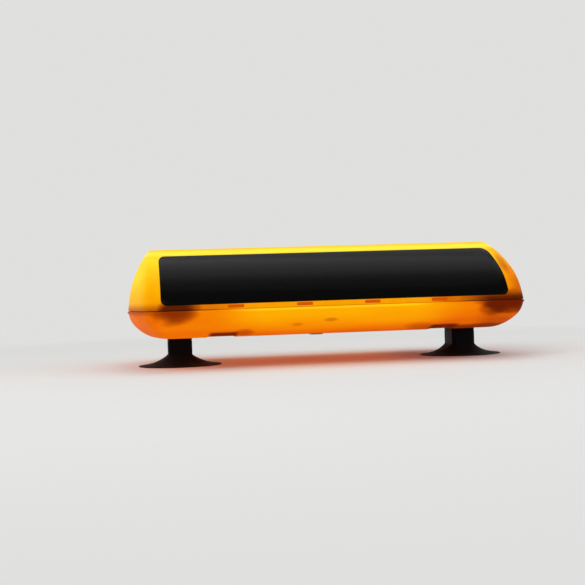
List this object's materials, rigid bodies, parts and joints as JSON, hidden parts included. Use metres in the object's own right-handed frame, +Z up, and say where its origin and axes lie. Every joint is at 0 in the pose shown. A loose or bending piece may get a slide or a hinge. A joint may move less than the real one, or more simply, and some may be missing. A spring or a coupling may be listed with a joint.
{
  "type": "illuminated taxi roof sign",
  "caption": "Lit roof sign for a taxi: a domed translucent hood with blank black face panels on a tapered pan with two magnetic feet.",
  "frame": {"origin": "on the roof plane, midway between the two feet", "axes": "+X along the sign to the right as seen from the front, +Y from the front face to the rear face, +Z up"},
  "size_m": [0.4778, 0.262, 0.1417],
  "materials": {
    "hood_plastic": "translucent yellow plastic, lit from inside",
    "pan_plastic": "translucent amber plastic, lit from inside",
    "panel_black": "gloss",
    "seal_rubber": "matt",
    "foot_rubber": "matt",
    "foot_plastic": "satin",
    "gland_black": "satin",
    "block_plastic": "satin",
    "holder_plastic": "satin",
    "tray_white": "gloss white",
    "zinc_steel": "zinc plated",
    "magnet_steel": "nickel plated",
    "brass": "satin",
    "cap_metal": "nickel plated",
    "bulb_glass": "clear"
  },
  "bodies": {
    "base": {"base_pan": "pan_plastic", "seal_strip": "seal_rubber", "carrier_rail": "zinc_steel", "reflector_tray": "tray_white", "terminal_block": "block_plastic", "cable_gland": "gland_black", "lamp_caps": "cap_metal", "foot_boots": "foot_rubber", "foot_magnets": "magnet_steel", "lamp_holder_left": "holder_plastic", "lamp_blades_left": "brass", "lamp_bulb_left": "bulb_glass", "lamp_holder_centre": "holder_plastic", "lamp_blades_centre": "brass", "lamp_bulb_centre": "bulb_glass", "lamp_holder_right": "holder_plastic", "lamp_blades_right": "brass", "lamp_bulb_right": "bulb_glass", "foot_post_left": "foot_plastic", "foot_post_right": "foot_plastic"},
    "hood": {"hood_shell": "hood_plastic", "front_panel": "panel_black", "rear_panel": "panel_black"}
  },
  "joints": [
    {"name": "hood_lift", "type": "slide", "parent": "base", "child": "hood", "axis": [0, 0, 1], "range_m": [0, 0.08]}
  ]
}
